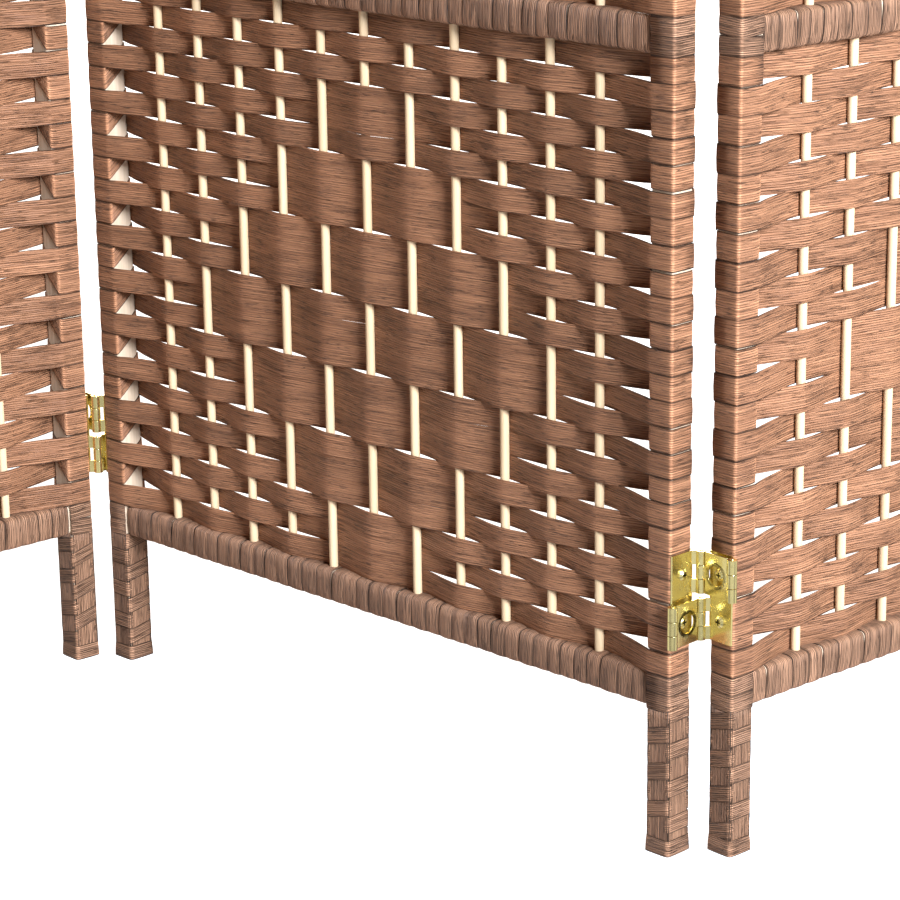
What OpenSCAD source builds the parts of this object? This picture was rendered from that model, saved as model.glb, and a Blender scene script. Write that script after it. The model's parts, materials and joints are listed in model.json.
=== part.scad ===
// Folding room divider: three woven panels joined by double-action screen hinges.
// Frame: +Z up with the floor at z = 0. The middle panel lies across X, its front faces -Y,
// and its centre is the origin. The right panel folds back and the left panel folds forward.

/* [Panels] */
// Width of each panel over its wrapped stiles
panel_w = 505; // [350:1:700]
// Height of the legs, from the floor to the wrapped bottom rail
leg_h = 89; // [40:1:160]
// Clear height of each woven section
section_h = 354; // [240:1:480]
// Angle that each end panel is turned from flat
fold_angle = 86.5; // [0:0.5:90]

/* [Frame] */
// Width of a stile's wooden core, across the panel
stile_w = 16; // [12:0.5:28]
// Depth of a stile's wooden core, front to back
stile_d = 16.5; // [14:0.5:28]
// Height of a rail's wooden core
rail_h = 19.8; // [14:0.1:32]
// Depth of a rail's wooden core, front to back
rail_d = 13.9; // [10:0.1:24]
// Thickness of the fibre wound round the wood
wrap_t = 0.8; // [0.5:0.1:1.2]
// Bare wood left at each foot, under the winding
foot_bare = 1.5; // [0.5:0.5:10]
// Length of the tenon on each end of a rail
tenon_l = 9; // [5:0.5:11]
// Side of the square tenon
tenon_side = 8; // [5:0.5:9]
// Play round a tenon in its mortise
tenon_play = 0.1; // [0:0.05:0.3]

/* [Weave] */
// Diameter of the round rods
rod_d = 5.5; // [3:0.5:8]
// Radial play of a rod in its holes
rod_play = 0.05; // [0.02:0.01:0.1]
// Depth that a rod stands in the bottom and top rails
rod_seat = 12; // [6:0.5:13]
// Share of one rod space that lies between the last rod and the stile
end_space = 1.18; // [0.8:0.01:1.4]
// Thickness of a woven fibre strip
strip_t = 0.6; // [0.4:0.05:0.8]
// Clearance between a strip and a rod
strip_play = 0.25; // [0.2:0.05:0.5]
// Gap between neighbouring strips, and between a strip and the frame
strip_gap = 0.5; // [0.3:0.1:1]
// Rows of strip in each section of the middle panel
middle_rows = 24; // [18:1:28]
// Rows of strip in each section of the end panels
end_rows = 22; // [18:1:28]

/* [Hinges] */
// Thickness of the hinge plates
plate_t = 1.2; // [0.8:0.1:1.6]
// Height of one tier of knuckles
tier_h = 25.2; // [18:0.3:36]
// Space between the two tiers
tier_gap = 3; // [2:0.5:6]
// Radius of a knuckle
knuckle_r = 3; // [2.5:0.1:4]
// Radius of a hinge pin
pin_r = 1.3; // [0.8:0.1:1.6]
// Radial play of a pin in its knuckles
pin_play = 0.05; // [0.02:0.01:0.1]
// Space between a knuckle and the panel's face plane
knuckle_lift = 0.05; // [0.05:0.05:1]
// Space between knuckles that turn on each other
knuckle_gap = 0.3; // [0.3:0.1:0.6]
// Radius of a screw head
head_r = 3.5; // [2.5:0.1:4]
// Height of a screw head
head_h = 2; // [1.2:0.1:2.6]
// Space between a screw head and the link that passes over it
head_clear = 0.9; // [0.5:0.1:2]
// Radius of a screw shank
shank_r = 1.5; // [1:0.1:2]
// Length of a screw shank in the wood
shank_l = 11; // [6:0.5:12]
// Radius of the screwdriver hole in a link
access_r = 6.2; // [4.5:0.1:7]
// Height of the lowest and the highest hinge from the nearest rail
hinge_rise = 20; // [5:1:60]

/* [Hidden] */
$fn = 48;
eps = 0.01;
sections = 4;
rod_count = 11;
mid_rod = (rod_count + 1) / 2;
diamond_steps = 3;

full_stile_w = stile_w + 2 * wrap_t;
full_stile_d = stile_d + 2 * wrap_t;
full_rail_h = rail_h + 2 * wrap_t;
full_rail_d = rail_d + 2 * wrap_t;
inner_w = panel_w - 2 * full_stile_w;
total_h = leg_h + (sections + 1) * full_rail_h + sections * section_h;
stile_x = (panel_w - full_stile_w) / 2;
rail_reach = inner_w / 2 + wrap_t;
rod_space = inner_w / (rod_count - 1 + 2 * end_space);
mortise_side = tenon_side + 2 * tenon_play;
mortise_depth = tenon_l + tenon_play;
rod_hole_r = rod_d / 2 + rod_play;
strip_side = rod_d / 2 + strip_play + strip_t / 2;

axis_out = plate_t + head_h + head_clear + plate_t / 2;
axis_back = full_stile_d / 2 + knuckle_r + knuckle_lift;
panel_step = panel_w + 2 * axis_out;
knuckle_h = tier_h / 3;
hinge_h = 2 * tier_h + tier_gap;
hinge_low = leg_h + full_rail_h + hinge_rise;
hinge_high = total_h - full_rail_h - hinge_rise - hinge_h;
hinge_places = [hinge_low, (hinge_low + hinge_high) / 2, hinge_high];
tier_places = [0, tier_h + tier_gap];
screw_places = [tier_h / 2, 1.5 * tier_h + tier_gap];

wood = "burlywood";
fibre = "rosybrown";
cane = "wheat";
metal = "goldenrod";

PANELS = ["left", "middle", "right"];
SIDES = ["left", "right"];
RAILS = ["bottom", "lower", "centre", "upper", "top"];
PANEL_PIECES = [
    for (side = SIDES) each [str("stile_", side), str("stile_wrap_", side)],
    for (rail = RAILS) str("rail_", rail),
    "rail_wraps",
    "rods",
    for (section = [1 : sections]) str("weave_", section)
];
HINGE_PIECES = ["inner_leaves", "outer_leaves", "fixed_links", "swinging_links",
                "pivot_pins", "idle_pins"];

function panel_side(panel) = panel == "left" ? -1 : panel == "right" ? 1 : 0;
function panel_rows(panel) = panel == "middle" ? middle_rows : end_rows;
function rail_z(number) = leg_h + number * (full_rail_h + section_h);
function rod_x(number) = (number - mid_rod) * rod_space;

// The row at the diamond's centre is odd, so that the diamond's points fall on the weave.
function centre_row(rows) = 2 * floor(rows / 4) + 1;

// Plain weave passes behind every second rod. Inside the diamond every third row is reversed.
function in_diamond(row, rod, centre) =
    let (step = (row - centre) / diamond_steps)
    step == round(step) && abs(step) <= diamond_steps
        && abs(rod - mid_rod) <= diamond_steps + 1 - abs(step);
function passes_behind(row, rod, centre) =
    ((row + rod) % 2 == 0) != in_diamond(row, rod, centre);

// Moves a panel from its own flat place to where the fold puts it.
module place_panel(side) {
    axis = [side * (panel_w / 2 + axis_out), side * axis_back, 0];
    translate(axis)
        rotate([0, 0, abs(side) * fold_angle])
            translate(-axis)
                translate([side * panel_step, 0, 0])
                    children();
}

module block(width, depth, height) {
    translate([-width / 2, -depth / 2, 0])
        cube([width, depth, height]);
}

// One copy of the children at the height of each hinge.
module at_hinges() {
    for (height = hinge_places)
        translate([0, 0, height])
            children();
}

// The outer edge of the middle panel on one side, with local +X away from the panel.
module at_middle_edge(side) {
    rotate([0, 0, side < 0 ? 180 : 0])
        translate([panel_w / 2, 0, 0])
            children();
}

// The facing edge of the end panel, in the same local frame, turned with that panel.
module at_end_edge(side) {
    at_middle_edge(side)
        translate([axis_out, axis_back, 0])
            rotate([0, 0, fold_angle])
                translate([axis_out, -axis_back, 0])
                    mirror([1, 0, 0])
                        children();
}

// Screw holes through an edge face, which is at x = 0 with the wood behind it.
module screw_holes(radius) {
    for (height = screw_places)
        translate([-shank_l - eps, 0, height])
            rotate([0, 90, 0])
                cylinder(r = radius, h = shank_l + plate_t + 2 * eps);
}

// The screw holes that a stile needs on its left (-1) or right (1) edge.
module edge_holes(side) {
    rotate([0, 0, side < 0 ? 180 : 0])
        translate([panel_w / 2, 0, 0])
            at_hinges() screw_holes(shank_r + pin_play);
}

// A stile carries hinges on each side where a neighbour panel stands.
function has_hinges(panel, side) = panel == "middle" || panel_side(panel) == -side;

module stile(panel, side) {
    color(wood)
        difference() {
            translate([side * stile_x, 0, 0])
                block(stile_w, stile_d, total_h);
            for (number = [0 : sections])
                translate([side * rail_reach, 0, rail_z(number) + (full_rail_h - mortise_side) / 2])
                    block(2 * mortise_depth, mortise_side, mortise_side);
            if (has_hinges(panel, side)) edge_holes(side);
        }
}

module stile_wrap(panel, side) {
    color(fibre)
        difference() {
            translate([side * stile_x, 0, foot_bare])
                block(full_stile_w, full_stile_d, total_h - foot_bare);
            translate([side * stile_x, 0, 0])
                block(stile_w, stile_d, total_h + eps);
            for (number = [0 : sections])
                translate([side * rail_reach, 0, rail_z(number) + wrap_t])
                    block(4 * wrap_t, rail_d, rail_h);
            if (has_hinges(panel, side)) edge_holes(side);
        }
}

// Rods run through the inner rails and stand in blind holes in the bottom and top rails.
module rod_holes(number) {
    from = rail_z(number) + (number == 0 ? wrap_t + rail_h - rod_seat : -eps);
    to = rail_z(number) + (number == sections ? wrap_t + rod_seat : full_rail_h + eps);
    for (rod = [1 : rod_count])
        translate([rod_x(rod), 0, from])
            cylinder(r = rod_hole_r, h = to - from);
}

module rail(number) {
    color(wood)
        difference() {
            union() {
                translate([0, 0, rail_z(number) + wrap_t])
                    block(2 * rail_reach, rail_d, rail_h);
                translate([0, 0, rail_z(number) + (full_rail_h - tenon_side) / 2])
                    block(2 * (rail_reach + tenon_l), tenon_side, tenon_side);
            }
            rod_holes(number);
        }
}

module rail_wraps() {
    color(fibre)
        for (number = [0 : sections])
            difference() {
                translate([0, 0, rail_z(number)])
                    block(inner_w, full_rail_d, full_rail_h);
                translate([0, 0, rail_z(number) + wrap_t])
                    block(inner_w + 2 * eps, rail_d, rail_h);
                rod_holes(number);
            }
}

module rods() {
    from = rail_z(0) + wrap_t + rail_h - rod_seat;
    to = rail_z(sections) + wrap_t + rod_seat;
    color(cane)
        for (rod = [1 : rod_count])
            translate([rod_x(rod), 0, from])
                cylinder(d = rod_d, h = to - from);
}

// One section of strips, each a thin ribbon that bends from rod to rod.
module weave(section, rows) {
    pitch = section_h / rows;
    end_x = inner_w / 2 - strip_gap;
    floor_z = rail_z(section - 1) + full_rail_h;
    color(fibre)
        for (row = [0 : rows - 1]) {
            path = [for (rod = [0 : rod_count + 1])
                [max(-end_x, min(end_x, rod_x(rod))),
                 passes_behind(row, rod, centre_row(rows)) ? strip_side : -strip_side]];
            front = [for (p = path) p - [0, strip_t / 2]];
            back = [for (i = [len(path) - 1 : -1 : 0]) path[i] + [0, strip_t / 2]];
            translate([0, 0, floor_z + (rows - 1 - row) * pitch + strip_gap / 2])
                linear_extrude(pitch - strip_gap)
                    polygon(concat(front, back));
        }
}

// A bent arm of plate from the leaf to the middle of a knuckle.
module arm(direction, height) {
    start = [plate_t / 2, direction * (full_stile_d / 2 - 1)];
    end = [axis_out, direction * axis_back];
    along = (end - start) / norm(end - start);
    across = [-along[1], along[0]] * plate_t / 2;
    linear_extrude(height)
        polygon([start + across, end + across, end - across, start - across]);
}

module knuckle(direction, from, height) {
    translate([axis_out, direction * axis_back, from])
        cylinder(r = knuckle_r, h = height);
}

module knuckle_bores() {
    for (direction = [-1, 1])
        translate([axis_out, direction * axis_back, -eps])
            cylinder(r = pin_r + pin_play, h = hinge_h + 2 * eps);
}

// A leaf's knuckles are the top and bottom thirds of a tier.
module leaf_knuckles(direction, tier) {
    leaf_part = knuckle_h - knuckle_gap / 2;
    for (from = [tier_places[tier], tier_places[tier] + tier_h - leaf_part]) {
        knuckle(direction, from, leaf_part);
        translate([0, 0, from])
            arm(direction, leaf_part);
    }
}

// The leaf on an edge face: its upper knuckles lie behind or in front, its lower ones opposite.
module leaf(upper_direction) {
    difference() {
        union() {
            translate([0, -full_stile_d / 2 + 0.5, 0])
                cube([plate_t, full_stile_d - 1, hinge_h]);
            leaf_knuckles(upper_direction, 1);
            leaf_knuckles(-upper_direction, 0);
        }
        knuckle_bores();
        screw_holes(shank_r + pin_play);
    }
}

// A link joins two axes in one tier. Its middle knuckles turn between those of the leaves.
module link(tier) {
    base = tier_places[tier];
    reach = axis_back - knuckle_r - 2 * knuckle_gap;
    third = base + knuckle_h + knuckle_gap / 2;
    third_h = knuckle_h - knuckle_gap;
    difference() {
        union() {
            translate([axis_out - plate_t / 2, -reach, base])
                cube([plate_t, 2 * reach, tier_h]);
            translate([axis_out - plate_t / 2, -axis_back, third])
                cube([plate_t, 2 * axis_back, third_h]);
            for (direction = [-1, 1])
                knuckle(direction, third, third_h);
        }
        knuckle_bores();
        translate([axis_out - plate_t, 0, base + tier_h / 2])
            rotate([0, 90, 0])
                cylinder(r = access_r, h = 2 * plate_t);
    }
}

module pin(direction, tier) {
    translate([axis_out, direction * axis_back, tier_places[tier] - tier_gap / 6])
        cylinder(r = pin_r, h = tier_h + tier_gap / 3);
}

// Screws in one edge face, with round heads and crossed drive slots.
module edge_screws() {
    slot_w = head_r / 4;
    for (height = screw_places)
        translate([0, 0, height])
            rotate([0, 90, 0])
                difference() {
                    union() {
                        translate([0, 0, -shank_l])
                            cylinder(r = shank_r, h = shank_l + plate_t);
                        translate([0, 0, plate_t])
                            cylinder(r = head_r, h = head_h / 2);
                        translate([0, 0, plate_t + head_h / 2])
                            cylinder(r1 = head_r, r2 = head_r * 0.6, h = head_h / 2);
                    }
                    for (turn = [0, 90])
                        rotate([0, 0, turn])
                            translate([-head_r / 2, -slot_w / 2, plate_t + head_h / 2])
                                cube([head_r, slot_w, head_h]);
                }
}

module screws(panel) {
    side = panel_side(panel);
    color(metal)
        if (side == 0)
            for (edge = [-1, 1]) at_middle_edge(edge) at_hinges() edge_screws();
        else
            at_end_edge(side) at_hinges() edge_screws();
}

// The end panel folds about the axis behind the middle panel's edge (local +Y). The lower
// link stays with the middle panel and the upper link swings with the end panel.
module hinge_piece(side, piece) {
    color(metal) {
        if (piece == "inner_leaves") at_middle_edge(side) at_hinges() leaf(1);
        if (piece == "outer_leaves") at_end_edge(side) at_hinges() leaf(-1);
        if (piece == "fixed_links") at_middle_edge(side) at_hinges() link(0);
        if (piece == "swinging_links") at_end_edge(side) at_hinges() link(1);
        if (piece == "pivot_pins") at_middle_edge(side) at_hinges() {
            pin(1, 0);
            pin(1, 1);
            pin(-1, 0);
        }
        if (piece == "idle_pins") at_end_edge(side) at_hinges() pin(-1, 1);
    }
}

module piece_of_panel(panel, name) {
    for (side = SIDES) {
        direction = side == "left" ? -1 : 1;
        if (name == str("stile_", side)) stile(panel, direction);
        if (name == str("stile_wrap_", side)) stile_wrap(panel, direction);
    }
    for (number = [0 : sections])
        if (name == str("rail_", RAILS[number])) rail(number);
    if (name == "rail_wraps") rail_wraps();
    if (name == "rods") rods();
    for (section = [1 : sections])
        if (name == str("weave_", section)) weave(section, panel_rows(panel));
}

for (panel = PANELS, name = PANEL_PIECES)
    place_panel(panel_side(panel)) piece_of_panel(panel, name);

for (panel = PANELS)
    screws(panel);

for (side = SIDES, name = HINGE_PIECES)
    hinge_piece(side == "left" ? -1 : 1, name);
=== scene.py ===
import json
import math
import random

import bmesh
import bpy
from mathutils import Matrix, Vector


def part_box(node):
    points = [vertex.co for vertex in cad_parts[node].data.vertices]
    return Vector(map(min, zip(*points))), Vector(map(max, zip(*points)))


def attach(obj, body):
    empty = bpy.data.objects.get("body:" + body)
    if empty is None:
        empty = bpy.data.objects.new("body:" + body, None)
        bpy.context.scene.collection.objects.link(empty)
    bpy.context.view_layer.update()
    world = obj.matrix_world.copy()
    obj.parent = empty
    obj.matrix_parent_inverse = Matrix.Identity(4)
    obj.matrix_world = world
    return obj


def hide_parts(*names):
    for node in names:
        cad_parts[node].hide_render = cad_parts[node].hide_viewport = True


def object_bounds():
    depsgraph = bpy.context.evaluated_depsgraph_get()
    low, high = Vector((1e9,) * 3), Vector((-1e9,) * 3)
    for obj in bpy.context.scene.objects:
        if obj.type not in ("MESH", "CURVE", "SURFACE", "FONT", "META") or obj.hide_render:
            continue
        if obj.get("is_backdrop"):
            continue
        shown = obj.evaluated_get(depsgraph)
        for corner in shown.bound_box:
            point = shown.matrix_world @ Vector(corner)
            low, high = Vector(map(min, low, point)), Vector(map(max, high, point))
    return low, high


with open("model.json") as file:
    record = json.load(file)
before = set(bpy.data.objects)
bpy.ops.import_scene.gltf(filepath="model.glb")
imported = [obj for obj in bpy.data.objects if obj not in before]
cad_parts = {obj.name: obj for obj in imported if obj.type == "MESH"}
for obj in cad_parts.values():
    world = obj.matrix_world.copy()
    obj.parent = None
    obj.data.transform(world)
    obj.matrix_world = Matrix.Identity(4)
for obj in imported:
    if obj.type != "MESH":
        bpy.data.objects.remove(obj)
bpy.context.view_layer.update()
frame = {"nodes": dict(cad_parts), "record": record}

MM = 0.001

# ---------------------------------------------------------------- camera, light and floor

CAMERA_PLACE = (1.3372, -1.2454, 0.7260)
CAMERA_AZIMUTH = 42.89
CAMERA_PITCH = 17.30
CAMERA_LENS = 123.3
CAMERA_SHIFT = (-0.1523, 0.0618)


def maths(tree, operation, a, b=None, clamp=False):
    node = tree.nodes.new("ShaderNodeMath")
    node.operation = operation
    node.use_clamp = clamp
    for socket, value in zip(node.inputs, (a, b)):
        if value is None:
            continue
        if isinstance(value, (int, float)):
            socket.default_value = value
        else:
            tree.links.new(value, socket)
    return node.outputs["Value"]


def make_camera():
    data = bpy.data.cameras.new("camera")
    data.sensor_width = 36.0
    data.lens = CAMERA_LENS
    data.shift_x, data.shift_y = CAMERA_SHIFT
    data.clip_end = 50.0
    camera = bpy.data.objects.new("camera", data)
    camera.location = CAMERA_PLACE
    camera.rotation_euler = (math.radians(90 - CAMERA_PITCH), 0, math.radians(CAMERA_AZIMUTH))
    bpy.context.scene.collection.objects.link(camera)
    bpy.context.scene.camera = camera


def make_lamp(name, place, target, size, power, colour=(1, 1, 1)):
    data = bpy.data.lights.new(name, "AREA")
    data.shape = "RECTANGLE"
    data.size, data.size_y = size
    data.energy = power
    data.color = colour
    lamp = bpy.data.objects.new(name, data)
    lamp.location = place
    lamp.rotation_euler = (Vector(target) - Vector(place)).to_track_quat("-Z", "Y").to_euler()
    bpy.context.scene.collection.objects.link(lamp)


def make_room():
    """White surroundings in sight, a dim warm fill for the paper, and dark and bright bands for the brass."""
    world = bpy.data.worlds.new("studio")
    bpy.context.scene.world = world
    world.use_nodes = True
    tree = world.node_tree
    nodes, links = tree.nodes, tree.links
    nodes.clear()
    output = nodes.new("ShaderNodeOutputWorld")
    background = nodes.new("ShaderNodeBackground")
    sight = nodes.new("ShaderNodeLightPath")
    direction = nodes.new("ShaderNodeTexCoord")
    bands = nodes.new("ShaderNodeTexWave")
    bands.wave_type = "BANDS"
    bands.bands_direction = "X"
    bands.wave_profile = "SIN"
    bands.inputs["Scale"].default_value = 0.62
    bands.inputs["Distortion"].default_value = 1.5
    bands.inputs["Detail"].default_value = 1.0
    mirrored = nodes.new("ShaderNodeMapRange")
    mirrored.inputs["To Min"].default_value = MIRRORED_DARK
    mirrored.inputs["To Max"].default_value = MIRRORED_BRIGHT
    choose_glossy = nodes.new("ShaderNodeMix")
    choose_glossy.data_type = "RGBA"
    choose_glossy.inputs[6].default_value = (*FILL_COLOUR, 1)
    choose_seen = nodes.new("ShaderNodeMix")
    choose_seen.data_type = "RGBA"
    choose_seen.inputs[7].default_value = (1, 1, 1, 1)
    links.new(direction.outputs["Generated"], bands.inputs["Vector"])
    links.new(bands.outputs["Fac"], mirrored.inputs["Value"])
    links.new(sight.outputs["Is Glossy Ray"], choose_glossy.inputs[0])
    links.new(mirrored.outputs["Result"], choose_glossy.inputs[7])
    links.new(sight.outputs["Is Camera Ray"], choose_seen.inputs[0])
    links.new(choose_glossy.outputs[2], choose_seen.inputs[6])
    links.new(choose_seen.outputs[2], background.inputs["Color"])
    links.new(background.outputs["Background"], output.inputs["Surface"])


def make_floor():
    mesh = bpy.data.meshes.new("floor")
    bm = bmesh.new()
    bmesh.ops.create_grid(bm, x_segments=1, y_segments=1, size=9.0)
    bm.to_mesh(mesh)
    bm.free()
    floor = bpy.data.objects.new("floor", mesh)
    bpy.context.scene.collection.objects.link(floor)
    material = bpy.data.materials.new("pale_floor")
    material.use_nodes = True
    tree = material.node_tree
    surface = tree.nodes["Principled BSDF"]
    surface.inputs["Roughness"].default_value = 0.9
    surface.inputs["Specular IOR Level"].default_value = 0.0
    surface.inputs["Emission Color"].default_value = (1, 1, 1, 1)
    sight = tree.nodes.new("ShaderNodeLightPath")
    tone = tree.nodes.new("ShaderNodeMix")
    tone.data_type = "RGBA"
    tone.inputs[6].default_value = (0.60, 0.58, 0.56, 1)
    tone.inputs[7].default_value = (0.06, 0.06, 0.06, 1)
    tree.links.new(sight.outputs["Is Glossy Ray"], tone.inputs[0])
    tree.links.new(tone.outputs[2], surface.inputs["Base Color"])

    # The brass mirrors the floor, so the floor has bright and dark bands that only it sees.
    place = tree.nodes.new("ShaderNodeTexCoord")
    along = tree.nodes.new("ShaderNodeVectorMath")
    along.operation = "DOT_PRODUCT"
    along.inputs[1].default_value = (0.68, -0.73, 0)
    tree.links.new(place.outputs["Object"], along.inputs[0])
    phase = maths(tree, "MULTIPLY", maths(tree, "SUBTRACT", along.outputs["Value"], 0.70), 2 * math.pi / 0.55)
    bands = maths(tree, "ADD", maths(tree, "MULTIPLY", maths(tree, "COSINE", phase), 0.33), 0.50)
    mirrored = maths(tree, "MULTIPLY", bands, sight.outputs["Is Glossy Ray"])
    seen = maths(tree, "MULTIPLY", sight.outputs["Is Camera Ray"], 0.96)
    tree.links.new(maths(tree, "ADD", mirrored, seen), surface.inputs["Emission Strength"])
    mesh.materials.append(material)
    floor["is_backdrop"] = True


FILL_COLOUR = (0.068, 0.042, 0.025)
MIRRORED_DARK = 0.02
MIRRORED_BRIGHT = 1.0
COOL_WHITE = (0.87, 1.055, 1.32)
WARM_WHITE = (1.0, 0.90, 0.78)

make_camera()
make_room()
make_floor()
make_lamp("key_lamp", (3.95, -0.80, 2.2), (0.0, -0.1, 0.50), (1.7, 1.6), 670, COOL_WHITE)
make_lamp("front_lamp", (-0.6, -3.6, 2.4), (0.0, 0.0, 0.6), (2.4, 2.0), 2, WARM_WHITE)
make_lamp("back_lamp", (-2.6, 2.9, 2.4), (0.0, 0.0, 0.8), (2.4, 2.0), 210, WARM_WHITE)
bpy.context.scene.view_settings.view_transform = "Standard"

# ---------------------------------------------------------------- sizes from the frame

ROD_COUNT = 11
ROWS = {"left": 22, "middle": 24, "right": 22}
PANELS = {"left": -1, "middle": 0, "right": 1}
RAILS = ("bottom", "lower", "centre", "upper", "top")
DIAMOND_STEPS = 3

core_low, core_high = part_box("middle_stile_right")
wrap_low, wrap_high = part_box("middle_stile_wrap_right")
HALF_W = wrap_high.x
INNER_X = wrap_low.x
CORE_X = (core_low.x, core_high.x)
HALF_D = wrap_high.y
CORE_HALF_D = core_high.y
WRAP_T = HALF_D - CORE_HALF_D
TOTAL_H = core_high.z
rail_low, rail_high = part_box("middle_rail_bottom")
RAIL_HALF_D = rail_high.y
rods_low, rods_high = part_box("middle_rods")
ROD_D = rods_high.y - rods_low.y
ROD_SPACE = (rods_high.x - rods_low.x - ROD_D) / (ROD_COUNT - 1)
MID_ROD = (ROD_COUNT + 1) / 2
RAIL_SPANS = []
for rail in RAILS:
    low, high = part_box("middle_rail_" + rail)
    RAIL_SPANS.append((low.z - WRAP_T, high.z + WRAP_T))
LEG_H = RAIL_SPANS[0][0]
FOLD_JOINTS = {j["name"]: j for j in frame["record"]["behaviour"]["joints"]}


def panel_place(panel):
    """From a panel's own flat place, middle panel's frame, to where the fold puts it."""
    side = PANELS[panel]
    if side == 0:
        return Matrix.Identity(4)
    joint = FOLD_JOINTS[panel + "_fold"]
    axis = Vector(joint["pos_m"])
    fold = math.radians(-joint["range_deg"][0])
    step = Matrix.Translation((2 * axis.x, 0, 0))
    return Matrix.Translation(axis) @ Matrix.Rotation(fold, 4, "Z") @ Matrix.Translation(-axis) @ step


def rod_x(number):
    return (number - MID_ROD) * ROD_SPACE


# ---------------------------------------------------------------- the weave's pattern


def centre_row(rows):
    return 2 * (rows // 4) + 1


def in_diamond(row, rod, rows):
    offset = row - centre_row(rows)
    step = abs(offset) // DIAMOND_STEPS
    if offset % DIAMOND_STEPS != 0 or step > DIAMOND_STEPS:
        return False
    return abs(rod - MID_ROD) <= DIAMOND_STEPS + 1 - step


def passes_behind(row, rod, rows):
    return ((row + rod) % 2 == 0) != in_diamond(row, rod, rows)


# ---------------------------------------------------------------- ribbons of paper fibre

NARROW_COLUMNS = (-1.0, -0.88, 0.0, 0.88, 1.0)
WIDE_COLUMNS = (-1.0, -0.88, -0.5, 0.0, 0.5, 0.88, 1.0)
LAY_LAYER = "UVMap"
TIGHT_BEND = 500.0
# Painted highlight along a ribbon's tight bends, lightening its colour; it also stands for worn corners.
CORNER_HIGHLIGHT_AND_WEAR = 2.6
EDGE_LAYER = "strip_edge"


def cut_corners(points, rounds):
    """Round a path off by cutting each corner, keeping its two ends."""
    for _ in range(rounds):
        cut = [points[0]]
        for a, b in zip(points, points[1:]):
            cut.append(a.lerp(b, 0.25))
            cut.append(a.lerp(b, 0.75))
        cut.append(points[-1])
        points = cut
    return points


def drop_straight(points, longest, bend=0.02):
    """Leave out points on straight stretches, but never more than a longest step."""
    kept = [points[0]]
    for here, after in zip(points[1:-1], points[2:]):
        step = here - kept[-1]
        if step.length < 1e-7:
            continue
        turn = step.normalized().cross((after - here).normalized()).length
        if turn > bend or (after - kept[-1]).length > longest:
            kept.append(here)
    kept.append(points[-1])
    return kept


def ribbon_layers(bm):
    """The two UV layers of a ribbon mesh, made when they aren't there yet."""
    for name in (LAY_LAYER, EDGE_LAYER):
        if name not in bm.loops.layers.uv:
            bm.loops.layers.uv.new(name)
    return bm.loops.layers.uv[LAY_LAYER], bm.loops.layers.uv[EDGE_LAYER]


def corner_highlight_marks(path):
    """How tightly a path bends at each of its points, from 0 to 1, times the strength of the painted highlight laid
    along tight bends, which also stands for worn corners.
    """
    marks = [0.0]
    for before, here, after in zip(path, path[1:], path[2:]):
        step_in, step_out = here - before, after - here
        bend = step_in.angle(step_out, 0.0) * 2 / (step_in.length + step_out.length)
        marks.append(min(bend / TIGHT_BEND, 1.0) * CORNER_HIGHLIGHT_AND_WEAR)
    return marks + [0.0]


def lay_ribbon(bm, path, widths, across, start_u, shade, crowns=None, columns=NARROW_COLUMNS,
               edge_shade_marks=None):
    """Add a ribbon along a path. Its width lies along the across direction at every point.

    The first UV layer runs in metres, and the second holds the distance from the ribbon's middle, from 0 to 1, scaled
    by the edge shade marks that set the painted shade along its edges, with a shade of its own for the ribbon, to
    which the painted highlight of its tight bends is added. A crown lifts the middle."""
    lay, edge = ribbon_layers(bm)
    count = len(path)
    last = len(columns) - 1
    grid = bmesh.ops.create_grid(bm, x_segments=last, y_segments=count - 1, size=1.0)
    reach = [0.0]
    for a, b in zip(path, path[1:]):
        reach.append(reach[-1] + (b - a).length)
    outward = []
    for line in range(count):
        along = path[min(line + 1, count - 1)] - path[max(line - 1, 0)]
        outward.append(along.cross(across[line]).normalized())
    corners = corner_highlight_marks(path)
    place = {}
    for vert in grid["verts"]:
        column = round((vert.co.x + 1) / 2 * last)
        line = round((vert.co.y + 1) / 2 * (count - 1))
        share = columns[column]
        half = widths[line] / 2 * share
        vert.co = path[line] + across[line] * half
        if crowns:
            vert.co += outward[line] * crowns[line] * (1 - share * share)
        mark = edge_shade_marks[line] if edge_shade_marks else 1.0
        # Second layer: edge distance for the painted edge shade, and the ribbon's own shade plus the painted highlight
        # at tight bends.
        place[vert] = ((start_u + reach[line], half + 0.31 * shade), (abs(share) * mark, shade + corners[line]))
    faces = {face for vert in grid["verts"] for face in vert.link_faces}
    for face in faces:
        face.smooth = True
        for loop in face.loops:
            loop[lay].uv, loop[edge].uv = place[loop.vert]


def new_piece(name, bm, panel, material, thickness):
    """Finish a bmesh made in the middle panel's frame as a piece that rides on its panel."""
    bmesh.ops.recalc_face_normals(bm, faces=bm.faces)
    mesh = bpy.data.meshes.new(name)
    bm.transform(panel_place(panel))
    bm.to_mesh(mesh)
    bm.free()
    mesh.materials.append(material)
    piece = bpy.data.objects.new(name, mesh)
    bpy.context.scene.collection.objects.link(piece)
    if thickness:
        shell = piece.modifiers.new("thickness", "SOLIDIFY")
        shell.thickness = thickness
        shell.offset = 0.0
    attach(piece, panel + "_panel")
    return piece


UP = Vector((0, 0, 1))
ALONG_X = Vector((1, 0, 0))
STRIP_T = 0.62 * MM
WIND_T = 0.55 * MM
FLAT_PAD = 5.0 * MM
WEAVE_SIDE = ROD_D / 2 + 0.45 * MM
MID_SKIN = WRAP_T / 2
CORNER_REACH = 1.0 * MM
BAND_CROWN = 0.38 * MM
# Out in the field the painted shade along strip edges is weaker than round the posts.
FIELD_EDGE_SHADE = 0.885


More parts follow.
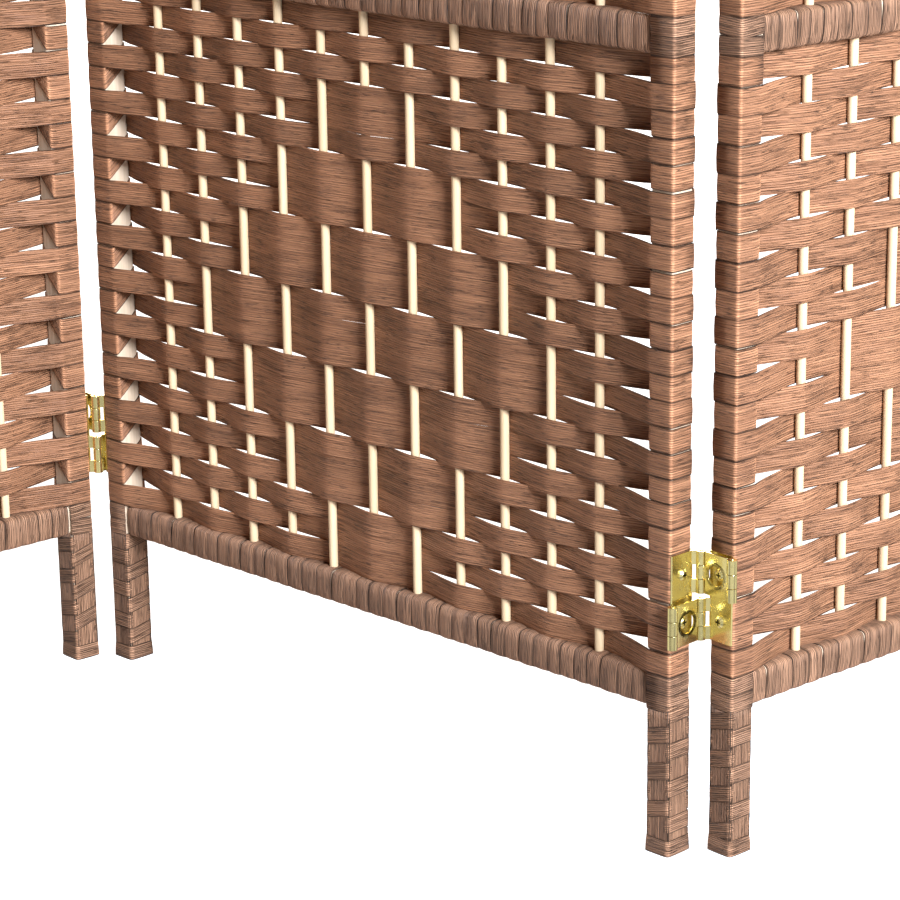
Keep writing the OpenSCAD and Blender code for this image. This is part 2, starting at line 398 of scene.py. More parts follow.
def strip_stile_points(side, row_behind, end_row):
    """Where a strip runs round one stile, from the field outwards, with its climb in rows."""
    outer, inner = side * (HALF_W - MID_SKIN), side * (INNER_X + MID_SKIN)
    front, rear = -(HALF_D - MID_SKIN), HALF_D - MID_SKIN
    if row_behind:
        loop = [(inner, rear, 0), (outer, rear, 0), (outer, front, 0), (inner, front, 0)]
        return loop if end_row else loop + [(inner, rear, 1), (outer, rear, 1)]
    loop = [(inner, front, 0), (outer, front, 0), (outer, rear, 0), (inner, rear, 0)]
    return loop if end_row else loop[:2] + [(outer, rear * 0.96, 0)]


def sharpen(points):
    """Double each inner point of a path round a post, so that its corners stay tight."""
    tight = []
    for index, point in enumerate(points):
        if 0 < index < len(points) - 1:
            for neighbour in (points[index - 1], points[index + 1]):
                gap = Vector(neighbour) - Vector(point)
                reach = min(0.45, CORNER_REACH / max(gap.xy.length, 1e-6))
                tight.append(tuple(Vector(point) + gap * reach))
        else:
            tight.append(tuple(point))
    return tight


def strip_path(row, rows, rng):
    """Control points of one strip across the panel, x and y in metres and z in rows of climb."""
    behind = row % 2 == 0
    end_row = row in (0, rows - 1)
    points = []
    left = sharpen([(-INNER_X + 14 * MM, 0, 0)] + strip_stile_points(-1, behind, end_row))[1:]
    points += [Vector(p) for p in reversed(left)]
    for rod in range(1, ROD_COUNT + 1):
        depth = WEAVE_SIDE if passes_behind(row, rod, rows) else -WEAVE_SIDE
        depth *= rng.uniform(0.95, 1.05)
        points.append(Vector((rod_x(rod) - FLAT_PAD, depth, 0)))
        points.append(Vector((rod_x(rod) + FLAT_PAD, depth, 0)))
    right = sharpen([(INNER_X - 14 * MM, 0, 0)] + strip_stile_points(1, behind, end_row))[1:]
    points += [Vector(p) for p in right]
    return points


def sway_at(x, lift):
    """How far a strip wanders up or down at a place across the panel."""
    share = (x / (2 * HALF_W) + 0.5) * (len(lift) - 2)
    share = min(max(share, 0.0), len(lift) - 2.001)
    index = int(share)
    return lift[index] + (lift[index + 1] - lift[index]) * (share - index)


def weave_section(panel, section, material):
    """The strips of one section, woven round the rods and wound round both stiles."""
    rows = ROWS[panel]
    rng = random.Random(f"weave {panel} {section}")
    floor_z = RAIL_SPANS[section][1]
    pitch = (RAIL_SPANS[section + 1][0] - floor_z) / rows
    bm = bmesh.new()
    for row in range(rows):
        middle_z = floor_z + (rows - row - 0.5) * pitch
        loose = 0.15 if row in (0, rows - 1) else 0.45
        lift = [rng.uniform(-loose, loose) * MM for _ in range(ROD_COUNT + 3)]
        thick_and_thin = [rng.uniform(-0.25, 0.30) * MM for _ in range(ROD_COUNT + 3)]
        curl = rng.uniform(-0.12, 0.12) * MM
        post_crown = BAND_CROWN * (-1 if row % 2 == 0 else 1)
        slit = {side: rng.choice((0.0, 0.0, 0.0, 0.35, 0.55, 0.8)) * MM for side in (-1, 1)}
        path = []
        for point in cut_corners(strip_path(row, rows, rng), 2):
            height = middle_z + point.z * pitch + sway_at(point.x, lift)
            path.append(Vector((point.x, point.y, height)))
        path = drop_straight(path, 16 * MM)
        widths, crowns, marks = [], [], []
        for point in path:
            spread = min(abs(point.y) / WEAVE_SIDE, 1.0)
            at_post = min(max((abs(point.x) - INNER_X) / (8 * MM) + 1.0, 0.0), 1.0)
            width = pitch * (1.005 + 0.022 * spread * (1 - at_post)) + sway_at(point.x, thick_and_thin)
            widths.append(width - slit[1 if point.x > 0 else -1] * at_post)
            crowns.append(curl + (post_crown - curl) * at_post)
            # Painted edge shade: weaker in the field, full where the strip wraps the post.
            marks.append(FIELD_EDGE_SHADE + (1 - FIELD_EDGE_SHADE) * at_post)
        start_u = 0.73 * (row + 30 * section) + 90 * PANELS[panel]
        lay_ribbon(bm, path, widths, [UP] * len(path), start_u, rng.random(), crowns, edge_shade_marks=marks)
    name = f"{panel}_woven_strips_{section + 1}"
    piece = new_piece(name, bm, panel, material, STRIP_T)
    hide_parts(f"{panel}_weave_{section + 1}")


def round_off(points, radius):
    """Swap each inner corner for two points a radius away from it."""
    rounded = [points[0]]
    for a, b, c in zip(points, points[1:], points[2:]):
        rounded.append(b + (a - b).normalized() * radius)
        rounded.append(b + (c - b).normalized() * radius)
    rounded.append(points[-1])
    return rounded


def bands_at_rails(bm, side, seed, rng):
    """At each rail two bands go round the stile's front, its outer edge and its rear."""
    front, rear = -(HALF_D - MID_SKIN), HALF_D - MID_SKIN
    outer, inner = side * (HALF_W - MID_SKIN), side * (INNER_X + 0.3 * MM)
    for number, (low, high) in enumerate(RAIL_SPANS):
        for band in range(2):
            band_h = (high - low) / 2
            middle_z = low + (band + 0.5) * band_h
            tilt = rng.uniform(-0.9, 0.9) * MM
            corners = [(inner, front, -tilt), (outer, front, tilt), (outer, rear, -tilt), (inner, rear, tilt)]
            path = cut_corners([Vector(p) for p in sharpen(corners)], 2)
            path = drop_straight([p + UP * middle_z for p in path], 20 * MM)
            crowns = [side * BAND_CROWN] * len(path)
            widths = [band_h * 1.02] * len(path)
            start_u = seed + 0.61 * (3 * number + band)
            lay_ribbon(bm, path, widths, [UP] * len(path), start_u, rng.random(), crowns, WIDE_COLUMNS)


def leg_patches(bm, centre, core_w, core_d, seed, rng):
    """A strip lies lengthwise down each face of the leg."""
    height = LEG_H + 1 * MM
    faces = [
        (Vector((centre, -core_d / 2 - LEG_LAY, 0)), Vector((1, 0, 0)), core_w),
        (Vector((centre, core_d / 2 + LEG_LAY, 0)), Vector((-1, 0, 0)), core_w),
        (Vector((centre + core_w / 2 + LEG_LAY, 0, 0)), Vector((0, 1, 0)), core_d),
        (Vector((centre - core_w / 2 - LEG_LAY, 0, 0)), Vector((0, -1, 0)), core_d),
    ]
    for index, (foot, across, width) in enumerate(faces):
        shift = across * rng.uniform(-0.3, 0.3) * MM
        path = [foot + shift + UP * (height * step / 12 + 0.4 * MM) for step in range(13)]
        widths = [width - rng.uniform(0.0, 0.9) * MM for _ in path]
        start_u = seed + 12 + 0.73 * index
        crowns = [0.15 * MM] * len(path)
        lay_ribbon(bm, path, widths, [across] * len(path), start_u, rng.random(), crowns, WIDE_COLUMNS)


def leg_turn(side, centre, core_w, core_d, climb, over):
    """One climbing turn of the leg's band. It passes over the lengthwise strip on the faces
    named in over, and under it on the others: 0 front, 1 right, 2 rear, 3 left."""
    corners = [(-1, -1), (1, -1), (1, 1), (-1, 1)]
    outward = [Vector((0, -1, 0)), Vector((1, 0, 0)), Vector((0, 1, 0)), Vector((-1, 0, 0))]
    shares = RIGHT_CLIMBS if side > 0 else LEFT_CLIMBS
    points = []
    height = 0.0
    for step in range(5):
        face = (2 + step) % 4
        sx, sy = corners[face]
        corner = Vector((centre + sx * (core_w / 2 + LEG_CORNER), sy * (core_d / 2 + LEG_CORNER), height))
        points.append(corner)
        if step < 4:
            nx, ny = corners[(face + 1) % 4]
            after = Vector((centre + nx * (core_w / 2 + LEG_CORNER), ny * (core_d / 2 + LEG_CORNER), 0))
            rise = shares[face] * climb
            after.z = height + rise
            lift = LEG_OVER if face in over else LEG_UNDER
            for share in (0.22, 0.5, 0.78):
                points.append(corner.lerp(after, share) + outward[face] * (lift - LEG_CORNER))
            height += rise
    return points


def leg_bands(bm, side, centre, core_w, core_d, seed, rng):
    """One band winds up the leg and is woven with the strips that lie down its faces."""
    climb = (LEG_H - FOOT_BAND_H) / LEG_TURNS
    sides_over = (1, 3)
    front_over = (0, 2)
    for turn in range(-1, LEG_TURNS):
        if turn < 0:
            points = leg_turn(side, centre, core_w + 2 * FOOT_LIFT, core_d + 2 * FOOT_LIFT, 0.0, (0, 1, 2, 3))
            height, band_h = FOOT_BAND_H / 2 + 0.3 * MM, FOOT_BAND_H
        else:
            points = leg_turn(side, centre, core_w, core_d, climb, sides_over if turn % 2 == 0 else front_over)
            height = FOOT_BAND_H + turn * climb - 0.1 * climb + rng.uniform(-0.4, 0.4) * MM
            band_h = climb * rng.uniform(0.90, 0.99)
        path = drop_straight(cut_corners(points, 2), 20 * MM, 0.01)
        path = [point + UP * height for point in path]
        across = []
        for point in path:
            away = Vector((point.x - centre, point.y, 0)).normalized()
            flare = FOOT_FLARE if turn < 0 else 0.0
            across.append((UP - away * flare).normalized())
        crowns = [0.15 * MM] * len(path)
        start_u = seed + 20 + 0.59 * turn
        lay_ribbon(bm, path, [band_h] * len(path), across, start_u, rng.random(), crowns, WIDE_COLUMNS)


LEG_TURNS = 7
LEG_LAY = 0.40 * MM
LEG_OVER = 0.62 * MM
LEG_UNDER = 0.10 * MM
LEG_CORNER = 0.42 * MM
FOOT_BAND_H = 9.8 * MM
FOOT_FLARE = 0.07
FOOT_LIFT = 0.35 * MM
RIGHT_CLIMBS = (0.42, 0.0, 0.24, 0.34)
LEFT_CLIMBS = (0.0, 0.28, 0.30, 0.42)


def stile_winding(panel, side, material):
    """Winding of one stile where no strip covers it: at the rails and down the leg."""
    rng = random.Random(f"stile {panel} {side}")
    bm = bmesh.new()
    centre = side * (CORE_X[0] + CORE_X[1]) / 2
    core_w, core_d = CORE_X[1] - CORE_X[0], 2 * CORE_HALF_D
    seed = 30 * (side + 2) + 150 * PANELS[panel]
    bands_at_rails(bm, side, seed, rng)
    leg_patches(bm, centre, core_w, core_d, seed, rng)
    leg_bands(bm, side, centre, core_w, core_d, seed, rng)
    side_name = "left" if side < 0 else "right"
    piece = new_piece(f"{panel}_stile_winding_{side_name}", bm, panel, material, WIND_T)
    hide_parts(f"{panel}_stile_wrap_{side_name}")


def rail_turn(x, width, half_d, half_h, lean):
    """One turn round a rail, starting and ending in the middle of its underside."""
    low_rear = Vector((x - 0.4 * MM, half_d, -half_h))
    top_rear = Vector((x + 0.8 * lean, half_d, half_h))
    top_front = Vector((x + lean, -half_d, half_h))
    low_front = Vector((x, -half_d, -half_h))
    under = low_rear.lerp(low_front, 0.5)
    points = [under, low_rear, top_rear, top_front, low_front, under]
    return cut_corners(round_off(points, 2.4 * MM), 1)


def rail_winding(panel, material):
    """Fibre wound tightly round the five rails, turn by turn, each at its own slant."""
    rng = random.Random(f"rails {panel}")
    bm = bmesh.new()
    for number, (low, high) in enumerate(RAIL_SPANS):
        middle = UP * (low + high) / 2
        half_h = (high - low) / 2 - MID_SKIN - 0.3 * MM
        x = -INNER_X + 1 * MM
        turn = 0
        while x < INNER_X - 4 * MM:
            width = min(rng.uniform(10.0, 14.5) * MM, INNER_X - x - 0.3 * MM)
            skin = rng.uniform(0.30, 0.60) * MM
            lean = rng.uniform(-0.3, 1.9) * MM
            if x + width > INNER_X - 5 * MM or turn == 0:
                lean = 0.0
            turn_path = rail_turn(x + width / 2, width, RAIL_HALF_D + skin, half_h + 0.5 * skin, lean)
            path = [point + middle for point in turn_path]
            across = [ALONG_X] * len(path)
            crowns = [rng.uniform(0.30, 0.55) * MM] * len(path)
            start_u = 0.43 * (turn + 60 * number) + 200 * PANELS[panel]
            lay_ribbon(bm, path, [width] * len(path), across, start_u, rng.random(), crowns, WIDE_COLUMNS)
            x += width * rng.uniform(0.95, 1.01)
            turn += 1
    piece = new_piece(f"{panel}_rail_winding", bm, panel, material, WIND_T)
    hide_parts(f"{panel}_rail_wraps")


# ---------------------------------------------------------------- wooden posts, rails and rods

POST_ROUNDING = 1.4 * MM
RAIL_ROUNDING = 3.0 * MM


def rounded_bar(name, low, high, axis, rounding, panel, material):
    """A square wooden bar with its four long edges rounded over."""
    bm = bmesh.new()
    size = high - low
    place = Matrix.Translation((low + high) / 2) @ Matrix.Diagonal((*size, 1))
    bmesh.ops.create_cube(bm, size=1.0, matrix=place)
    long_edges = [
        edge for edge in bm.edges
        if abs((edge.verts[0].co - edge.verts[1].co).normalized()[axis]) > 0.9
    ]
    bmesh.ops.bevel(bm, geom=long_edges, offset=rounding, offset_type="OFFSET", segments=4,
                    profile=0.5, affect="EDGES", material=-1)
    return new_piece(name, bm, panel, material, 0)


def flat_box(node, panel):
    """A CAD node's box in its panel's own flat place, in the middle panel's frame."""
    back = panel_place(panel).inverted()
    corners = [back @ frame["nodes"][node].matrix_world @ vert.co for vert in frame["nodes"][node].data.vertices]
    low = Vector([min(corner[i] for corner in corners) for i in range(3)])
    high = Vector([max(corner[i] for corner in corners) for i in range(3)])
    return low, high


TIER_H = 25.2 * MM
LINK_FACE = 5.3 * MM
RECESS_DEPTHS = (2.0 * MM, 3.18 * MM)
RECESS_R = 1.9 * MM
leaf_low, leaf_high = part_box("right_hinge_inner_leaves")
HINGE_H = 53.4 * MM
HINGE_LOWS = (leaf_low.z, (leaf_low.z + leaf_high.z - HINGE_H) / 2, leaf_high.z - HINGE_H)
SCREW_HEIGHTS = [low + rise for low in HINGE_LOWS for rise in (TIER_H / 2, HINGE_H - TIER_H / 2)]


def wooden_frame(panel, material):
    """Two posts and five rails of one panel."""
    for side_name in ("left", "right"):
        node = f"{panel}_stile_{side_name}"
        post = rounded_bar(f"{panel}_post_{side_name}", *flat_box(node, panel), 2, POST_ROUNDING, panel, material)
        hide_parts(node)
    for rail in RAILS:
        node = f"{panel}_rail_{rail}"
        bar = rounded_bar(f"{panel}_crosspiece_{rail}", *flat_box(node, panel), 0, RAIL_ROUNDING, panel, material)
        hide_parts(node)


def finished_copy(node, name, body, material, edge_width):
    """A merged copy of a CAD node with softened edges and smooth round faces."""
    bm = bmesh.new()
    bm.from_mesh(frame["nodes"][node].data)
    bmesh.ops.remove_doubles(bm, verts=bm.verts, dist=0.005 * MM)
    bmesh.ops.dissolve_limit(bm, angle_limit=math.radians(2), verts=bm.verts, edges=bm.edges)
    for face in bm.faces:
        face.smooth = True
    for edge in bm.edges:
        edge.smooth = edge.calc_face_angle(0.0) < math.radians(35)
    mesh = bpy.data.meshes.new(name)
    bm.to_mesh(mesh)
    bm.free()
    mesh.materials.append(material)
    piece = bpy.data.objects.new(name, mesh)
    bpy.context.scene.collection.objects.link(piece)
    if edge_width:
        soften = piece.modifiers.new("softened_edges", "BEVEL")
        soften.width = edge_width
        soften.segments = 2
        soften.limit_method = "ANGLE"
        soften.angle_limit = math.radians(35)
        soften.harden_normals = True
    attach(piece, body)
    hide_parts(node)


def paint_recess_shade(panel, material):
    """Paint shade into the faces inside each screw's cross recess with a second, dark brass material."""
    piece = bpy.data.objects[f"{panel}_hinge_screws"]
    piece.data.materials.append(material)
    back = panel_place(panel).inverted()
    heads = SCREW_HEIGHTS
    for face in piece.data.polygons:
        centre = back @ face.center
        depth = abs(centre.x) - HALF_W
        radius = min(math.hypot(centre.y, centre.z - height) for height in heads)
        if RECESS_DEPTHS[0] < depth < RECESS_DEPTHS[1] and radius < RECESS_R:
            face.material_index = 1


def rim_ring(bm, place):
    """A raised ring pressed round a screwdriver hole. The hole's axis is X."""
    section = bmesh.ops.create_circle(bm, segments=8, radius=RIM_TUBE)
    turn = Matrix.Translation((0, RIM_R, 0)) @ Matrix.Rotation(math.radians(90), 4, "Y")
    flatten = Matrix.Diagonal((0.75, 1, 1, 1))
    bmesh.ops.transform(bm, matrix=flatten @ turn, verts=section["verts"])
    edges = list(dict.fromkeys(edge for vert in section["verts"] for edge in vert.link_edges))
    spun = bmesh.ops.spin(bm, geom=section["verts"] + edges, cent=(0, 0, 0), axis=(1, 0, 0), dvec=(0, 0, 0),
                          angle=math.radians(360), steps=28, use_merge=True, use_duplicate=False)
    verts = {vert for vert in spun["geom_last"] if isinstance(vert, bmesh.types.BMVert)} | set(section["verts"])
    waiting = list(verts)
    while waiting:
        for edge in waiting.pop().link_edges:
            for vert in edge.verts:
                if vert not in verts:
                    verts.add(vert)
                    waiting.append(vert)
    bmesh.ops.transform(bm, matrix=Matrix.Translation(place), verts=list(verts))


RIM_TUBE = 0.95 * MM
RIM_R = 6.9 * MM


def hole_rims(side_name, link, material):
    """The raised rings of one connection's links, on the face that is seen when it is open."""
    side = -1 if side_name == "left" else 1
    swinging = link == "swinging"
    panel = side_name if swinging else "middle"
    direction = -side if swinging else side
    low, high = flat_box(f"{side_name}_hinge_{link}_links", panel)
    plate_face = direction * (HALF_W + LINK_FACE)
    first, last = flat_box(f"{side_name}_hinge_{link}_links", panel)[0].z, high.z
    tier_h = TIER_H
    heights = [low.z + tier_h / 2, (low.z + high.z) / 2, high.z - tier_h / 2]
    bm = bmesh.new()
    for height in heights:
        rim_ring(bm, Vector((plate_face, 0, height)))
    for face in bm.faces:
        face.smooth = True
    piece = new_piece(f"{side_name}_hinge_{link}_hole_rims", bm, panel, material, 0)
    return piece



# ---------------------------------------------------------------- shared shader effects


def new_group(name, inputs, outputs):
    group = bpy.data.node_groups.new(name, "ShaderNodeTree")
    for socket, kind, value in inputs:
        made = group.interface.new_socket(name=socket, in_out="INPUT", socket_type=kind)
        if value is not None:
            made.default_value = value
    for socket, kind in outputs:
        group.interface.new_socket(name=socket, in_out="OUTPUT", socket_type=kind)
    entry = group.nodes.new("NodeGroupInput")
    leave = group.nodes.new("NodeGroupOutput")
    return group, entry, leave


def add(tree, kind, links=(), **settings):
    """Add a node, set its properties or sockets, and link its inputs."""
    node = tree.nodes.new(kind)
    for key, value in settings.items():
        if hasattr(node, key):
            setattr(node, key, value)
        else:
            node.inputs[key.replace("_", " ")].default_value = value
    for socket, source in links:
        tree.links.new(source, node.inputs[socket])
    return node


def blend_colours(tree, factor, dark, light, mode="MIX"):
    node = tree.nodes.new("ShaderNodeMix")
    node.data_type = "RGBA"
    node.blend_type = mode
    for index, value in ((0, factor), (6, dark), (7, light)):
        if isinstance(value, (int, float)):
            node.inputs[index].default_value = value
        elif isinstance(value, tuple):
            node.inputs[index].default_value = (*value, 1.0)
        else:
            tree.links.new(value, node.inputs[index])
    return node.outputs[2]


def stretched_noise(tree, vector, scale, detail=3.0, roughness=0.55):
    """Noise on a vector stretched by a scale for each axis, from 0 to 1."""
    mapping = tree.nodes.new("ShaderNodeMapping")
    mapping.inputs["Scale"].default_value = scale
    tree.links.new(vector, mapping.inputs["Vector"])
    noise = tree.nodes.new("ShaderNodeTexNoise")
    noise.inputs["Scale"].default_value = 1.0
    noise.inputs["Detail"].default_value = detail
    noise.inputs["Roughness"].default_value = roughness
    tree.links.new(mapping.outputs["Vector"], noise.inputs["Vector"])
    return noise.outputs["Fac"]


def contrast(tree, value, low, high):
    """Spread a value so that low becomes 0 and high becomes 1."""
    node = tree.nodes.new("ShaderNodeMapRange")
    node.inputs["From Min"].default_value = low
    node.inputs["From Max"].default_value = high
    tree.links.new(value, node.inputs["Value"])
    return node.outputs["Result"]


def paper_cord_group():
    """Creased paper fibre: u runs along it and v across, both in metres.

    Edge holds the distance from the ribbon's middle, which sets the painted shade along its edges, and the ribbon's
    own shade with a painted highlight at tight bends."""
    group, entry, leave = new_group(
        "paper_cords",
        [("Place", "NodeSocketVector", None), ("Edge", "NodeSocketVector", None),
         ("Cord width", "NodeSocketFloat", 0.0011), ("Groove", "NodeSocketFloat", 0.3),
         ("Dark", "NodeSocketColor", (0.2, 0.1, 0.06, 1)), ("Light", "NodeSocketColor", (0.5, 0.3, 0.2, 1))],
        [("Colour", "NodeSocketColor"), ("Height", "NodeSocketFloat"), ("Roughness", "NodeSocketFloat")],
    )
    place = entry.outputs["Place"]
    split = add(group, "ShaderNodeSeparateXYZ", [("Vector", place)])
    ribbon = add(group, "ShaderNodeSeparateXYZ", [("Vector", entry.outputs["Edge"])])

    # Cords lie side by side and wander a little.
    wander = stretched_noise(group, place, (26, 240, 1), 2.0)
    sway = maths(group, "MULTIPLY", maths(group, "SUBTRACT", wander, 0.5), 0.0011)
    across = maths(group, "ADD", split.outputs["Y"], sway)
    cord = maths(group, "FRACT", maths(group, "DIVIDE", across, entry.outputs["Cord width"]))
    centred = maths(group, "ABSOLUTE", maths(group, "SUBTRACT", maths(group, "MULTIPLY", cord, 2.0), 1.0))
    round_top = maths(group, "SUBTRACT", 1.0, maths(group, "POWER", centred, 3.0))

    # Strands, creases and flecks of several sizes give the streaky colour.
    fine = stretched_noise(group, place, (110, 3300, 1), 3.0, 0.65)
    strands = stretched_noise(group, place, (24, 1500, 1), 3.0, 0.6)
    patches = stretched_noise(group, place, (16, 150, 1), 2.0, 0.5)
    creases = stretched_noise(group, place, (20, 760, 1), 2.5, 0.55)
    crease = contrast(group, maths(group, "ABSOLUTE", maths(group, "SUBTRACT", creases, 0.5)), 0.004, 0.022)
    streaks = maths(group, "MULTIPLY", contrast(group, strands, 0.30, 0.70), 0.58)
    clouds = maths(group, "MULTIPLY", contrast(group, patches, 0.34, 0.66), 0.22)
    threads = maths(group, "MULTIPLY", contrast(group, fine, 0.35, 0.65), 0.20)
    mixed = maths(group, "ADD", maths(group, "ADD", streaks, clouds), threads)
    colour = blend_colours(group, mixed, entry.outputs["Dark"], entry.outputs["Light"])

    # Each ribbon has its own shade, with a painted highlight at tight bends; painted shade darkens its creases, the
    # grooves between its cords and its edges.
    own_shade_and_highlight = maths(group, "ADD", maths(group, "MULTIPLY", ribbon.outputs["Y"], 0.26), 0.87)
    # Painted shade along the creases.
    crease_shade = maths(group, "ADD", maths(group, "MULTIPLY", crease, 0.70), 0.30, clamp=True)
    ragged = maths(group, "ADD", ribbon.outputs["X"], maths(group, "MULTIPLY", maths(group, "SUBTRACT", strands, 0.5), 0.10))
    # Painted shade along the ribbon's edges, where it meets its neighbours.
    edge_shade = maths(group, "SUBTRACT", 1.0, maths(group, "MULTIPLY", contrast(group, ragged, 0.86, 0.97), 0.74))
    # Painted shade in the grooves between the cords.
    groove_shade_amount = maths(group, "MULTIPLY", maths(group, "SUBTRACT", 1.0, round_top), entry.outputs["Groove"])
    groove_shade = maths(group, "SUBTRACT", 1.0, groove_shade_amount)
    shade = maths(group, "MULTIPLY", maths(group, "MULTIPLY", own_shade_and_highlight, crease_shade),
                  maths(group, "MULTIPLY", edge_shade, groove_shade))
    grey = add(group, "ShaderNodeCombineColor", [("Red", shade), ("Green", shade), ("Blue", shade)])
    colour = blend_colours(group, 1.0, colour, grey.outputs["Color"], "MULTIPLY")
    flecks = contrast(group, fine, 0.69, 0.76)
    colour = blend_colours(group, maths(group, "MULTIPLY", flecks, 0.40), colour, (0.60, 0.42, 0.30))

    height = maths(group, "ADD", maths(group, "MULTIPLY", round_top, 0.7), maths(group, "MULTIPLY", strands, 0.9))
    height = maths(group, "ADD", height, maths(group, "MULTIPLY", crease, 0.45))
    height = maths(group, "ADD", height, maths(group, "MULTIPLY", fine, 0.35))
    group.links.new(colour, leave.inputs["Colour"])
    group.links.new(height, leave.inputs["Height"])
    rough = maths(group, "ADD", maths(group, "MULTIPLY", strands, 0.22), 0.42)
    group.links.new(rough, leave.inputs["Roughness"])
    return group


def wood_grain_group():
    """Straight grain along the local Z axis."""
    group, entry, leave = new_group(
        "straight_grain",
        [("Place", "NodeSocketVector", None), ("Dark", "NodeSocketColor", (0.5, 0.35, 0.2, 1)),
         ("Light", "NodeSocketColor", (0.8, 0.65, 0.42, 1)), ("Fineness", "NodeSocketFloat", 1.0)],
        [("Colour", "NodeSocketColor"), ("Height", "NodeSocketFloat"), ("Roughness", "NodeSocketFloat")],
    )
    scaled = add(group, "ShaderNodeVectorMath", [(0, entry.outputs["Place"])], operation="SCALE")
    group.links.new(entry.outputs["Fineness"], scaled.inputs["Scale"])
    place = scaled.outputs["Vector"]
    rings = stretched_noise(group, place, (420, 420, 5), 3.0, 0.6)
    pores = stretched_noise(group, place, (1900, 1900, 45), 3.0, 0.6)
    tone = stretched_noise(group, place, (60, 60, 3), 2.0, 0.5)
    mixed = maths(group, "ADD", maths(group, "MULTIPLY", contrast(group, rings, 0.3, 0.7), 0.55),
                  maths(group, "MULTIPLY", contrast(group, tone, 0.3, 0.7), 0.45))
    colour = blend_colours(group, mixed, entry.outputs["Dark"], entry.outputs["Light"])
    dark_pores = maths(group, "MULTIPLY", contrast(group, pores, 0.62, 0.75), 0.30)
    colour = blend_colours(group, dark_pores, colour, (0.30, 0.18, 0.09))
    group.links.new(colour, leave.inputs["Colour"])
    group.links.new(maths(group, "SUBTRACT", rings, maths(group, "MULTIPLY", pores, 0.5)), leave.inputs["Height"])
    rough = maths(group, "ADD", maths(group, "MULTIPLY", pores, 0.25), 0.42)
    group.links.new(rough, leave.inputs["Roughness"])
    return group


def worn_metal_group():
    """Stamped sheet brass: drawn streaks, faint tarnish and small dents."""
    group, entry, leave = new_group(
        "stamped_brass",
        [("Place", "NodeSocketVector", None), ("Bright", "NodeSocketColor", (0.85, 0.65, 0.25, 1)),
         ("Tarnish", "NodeSocketColor", (0.55, 0.38, 0.12, 1))],
        [("Colour", "NodeSocketColor"), ("Height", "NodeSocketFloat"), ("Roughness", "NodeSocketFloat")],
    )
    place = entry.outputs["Place"]
    dents = stretched_noise(group, place, (160, 160, 130), 2.0, 0.5)
    streaks = stretched_noise(group, place, (1500, 1500, 140), 3.0, 0.6)
    stains = stretched_noise(group, place, (95, 95, 95), 4.0, 0.62)
    dull = contrast(group, stains, 0.55, 0.75)
    colour = blend_colours(group, maths(group, "MULTIPLY", dull, 0.55), entry.outputs["Bright"], entry.outputs["Tarnish"])
    group.links.new(colour, leave.inputs["Colour"])
    group.links.new(maths(group, "ADD", dents, maths(group, "MULTIPLY", streaks, 0.12)), leave.inputs["Height"])
    rough = maths(group, "ADD", maths(group, "MULTIPLY", dull, 0.18), maths(group, "MULTIPLY", streaks, 0.12))
    group.links.new(maths(group, "ADD", rough, 0.14), leave.inputs["Roughness"])
    return group


CORDS = paper_cord_group()
GRAIN = wood_grain_group()
BRASS = worn_metal_group()

# ---------------------------------------------------------------- materials


def new_material(name):
    material = bpy.data.materials.new(name)
    material.use_nodes = True
    return material, material.node_tree, material.node_tree.nodes["Principled BSDF"]


def finish_material(tree, surface, effect, bump_strength, bump_depth):
    bump = add(tree, "ShaderNodeBump", [("Height", effect.outputs["Height"])], Strength=bump_strength)
    bump.inputs["Distance"].default_value = bump_depth
    tree.links.new(effect.outputs["Colour"], surface.inputs["Base Color"])
    tree.links.new(effect.outputs["Roughness"], surface.inputs["Roughness"])
    tree.links.new(bump.outputs["Normal"], surface.inputs["Normal"])


def place_group(tree, group, vector, **values):
    node = tree.nodes.new("ShaderNodeGroup")
    node.node_tree = group
    for key, value in values.items():
        node.inputs[key.replace("_", " ")].default_value = value
    tree.links.new(vector, node.inputs["Place"])
    return node


def fibre_material(name, dark, light, cord_width, groove, depth):
    material, tree, surface = new_material(name)
    lay = tree.nodes.new("ShaderNodeUVMap")
    lay.uv_map = LAY_LAYER
    edge = tree.nodes.new("ShaderNodeUVMap")
    edge.uv_map = EDGE_LAYER
    effect = place_group(tree, CORDS, lay.outputs["UV"], Cord_width=cord_width, Groove=groove,
                         Dark=(*dark, 1), Light=(*light, 1))
    tree.links.new(edge.outputs["UV"], effect.inputs["Edge"])
    finish_material(tree, surface, effect, 1.0, depth)
    surface.inputs["Specular IOR Level"].default_value = 0.20
    return material


def wood_material(name, dark, light, fineness, gloss):
    material, tree, surface = new_material(name)
    place = tree.nodes.new("ShaderNodeTexCoord")
    effect = place_group(tree, GRAIN, place.outputs["Object"], Dark=(*dark, 1), Light=(*light, 1), Fineness=fineness)
    finish_material(tree, surface, effect, 0.35, 0.0002)
    surface.inputs["Specular IOR Level"].default_value = gloss
    return material


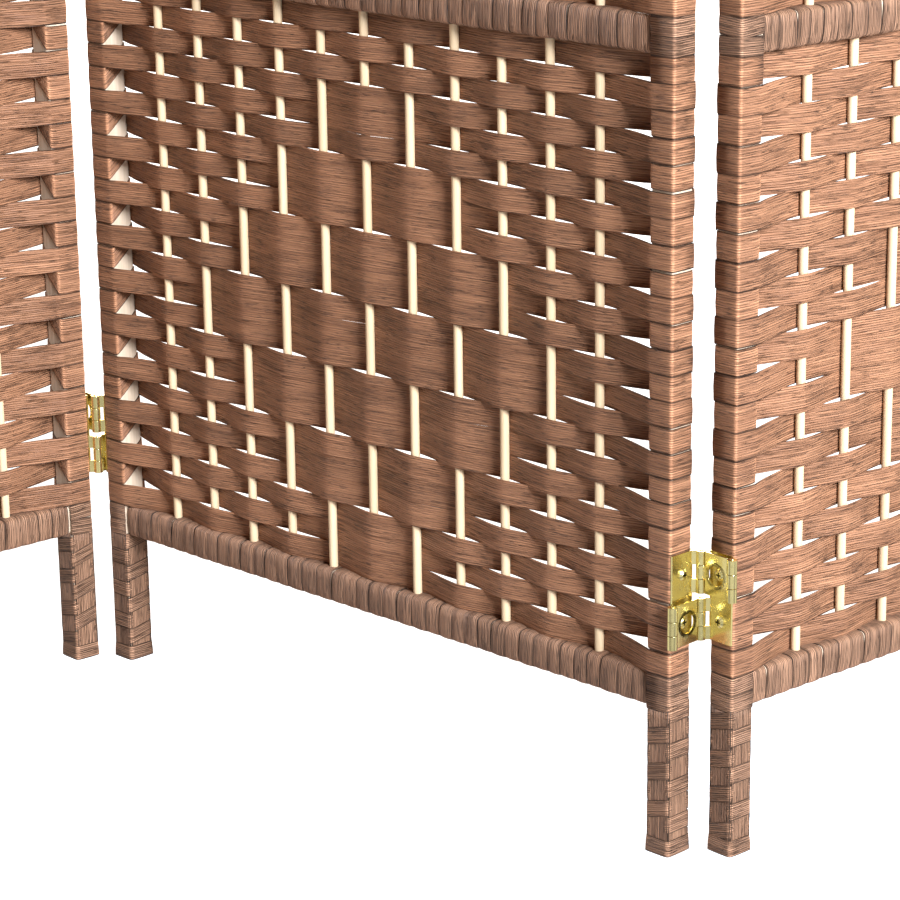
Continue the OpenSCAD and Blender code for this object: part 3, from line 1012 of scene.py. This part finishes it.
def brass_material(name, bright, tarnish):
    material, tree, surface = new_material(name)
    place = tree.nodes.new("ShaderNodeTexCoord")
    effect = place_group(tree, BRASS, place.outputs["Object"], Bright=(*bright, 1), Tarnish=(*tarnish, 1))
    finish_material(tree, surface, effect, 0.18, 0.0004)
    surface.inputs["Metallic"].default_value = 1.0
    return material


strip_material = fibre_material("paper_strip", (0.120, 0.043, 0.018), (0.470, 0.203, 0.094), 0.00140, 0.20, 0.0006)
winding_material = fibre_material("paper_winding", (0.090, 0.036, 0.017), (0.470, 0.232, 0.122), 0.00125, 0.62, 0.0009)
post_material = wood_material("bare_post_wood", (0.42, 0.27, 0.16), (0.62, 0.44, 0.29), 1.0, 0.3)
rod_material = wood_material("pale_rod_wood", (0.50, 0.31, 0.155), (0.67, 0.45, 0.25), 1.3, 0.35)
hinge_material = brass_material("polished_brass", (0.88, 0.74, 0.33), (0.60, 0.46, 0.16))
# Dark brass that paints the shade inside the screws' cross recesses.
recess_shade_material = brass_material("painted_recess_shade_brass", (0.10, 0.075, 0.03), (0.04, 0.03, 0.015))

# ---------------------------------------------------------------- the screen

for panel in PANELS:
    for section in range(len(RAILS) - 1):
        weave_section(panel, section, strip_material)
    for side in (-1, 1):
        stile_winding(panel, side, winding_material)
    rail_winding(panel, winding_material)
    wooden_frame(panel, post_material)
    finished_copy(f"{panel}_rods", f"{panel}_cane_rods", f"{panel}_panel", rod_material, 0)
    finished_copy(f"{panel}_screws", f"{panel}_hinge_screws", f"{panel}_panel", hinge_material,
                  0.20 * MM)
    paint_recess_shade(panel, recess_shade_material)

HINGE_PARTS = {
    "inner_leaves": "middle",
    "fixed_links": "middle",
    "pivot_pins": "middle",
    "outer_leaves": "end",
    "swinging_links": "end",
    "idle_pins": "end",
}
for side_name in ("left", "right"):
    for part, rider in HINGE_PARTS.items():
        body = "middle_panel" if rider == "middle" else f"{side_name}_panel"
        finished_copy(f"{side_name}_hinge_{part}", f"{side_name}_brass_{part}", body, hinge_material,
                      0.28 * MM)
    for link in ("fixed", "swinging"):
        hole_rims(side_name, link, hinge_material)

low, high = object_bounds()
